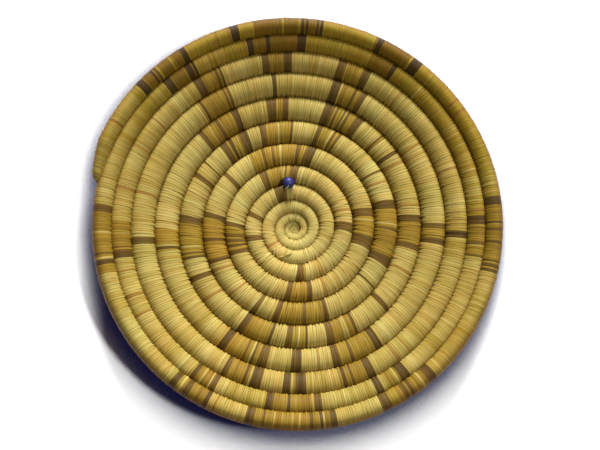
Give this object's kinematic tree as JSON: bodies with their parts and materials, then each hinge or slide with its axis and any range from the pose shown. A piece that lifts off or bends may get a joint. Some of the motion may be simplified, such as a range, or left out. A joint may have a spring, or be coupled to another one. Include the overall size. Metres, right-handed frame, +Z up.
{
  "type": "coiled basket tray",
  "caption": "Shallow round tray coiled from wrapped and sewn grass, thin at its centre and rim, with a glass bead on a thread.",
  "frame": {"origin": "centre of the coil, on the surface the tray rests on", "axes": "+Z up, out of the open side of the tray; the coil starts at the centre and runs anticlockwise seen from above, and its tail ends on the rim near -X"},
  "size_m": [0.3477, 0.3511, 0.0447],
  "materials": {
    "strand": "matte",
    "grass_bundle": "matte",
    "bead_glass": "gloss",
    "thread": "matte"
  },
  "bodies": {
    "tray": {"start_knot": "strand", "foundation_coil": "grass_bundle", "start_binding": "strand", "weft_turn_01": "strand", "weft_turn_02": "strand", "weft_turn_03": "strand", "weft_turn_04": "strand", "weft_turn_05": "strand", "weft_turn_06": "strand", "weft_turn_07": "strand", "weft_turn_08": "strand", "weft_turn_09": "strand", "weft_turn_10": "strand", "weft_turn_11": "strand", "weft_turn_12": "strand", "tail_binding": "strand", "bead_thread": "thread"},
    "bead": {"bead": "bead_glass"}
  },
  "joints": [
    {"name": "bead_spin", "type": "hinge", "parent": "tray", "child": "bead", "pos_m": [-0.00538, 0.03827, 0.01638], "axis": [0.1066, -0.7586, 0.6428], "continuous": true}
  ]
}
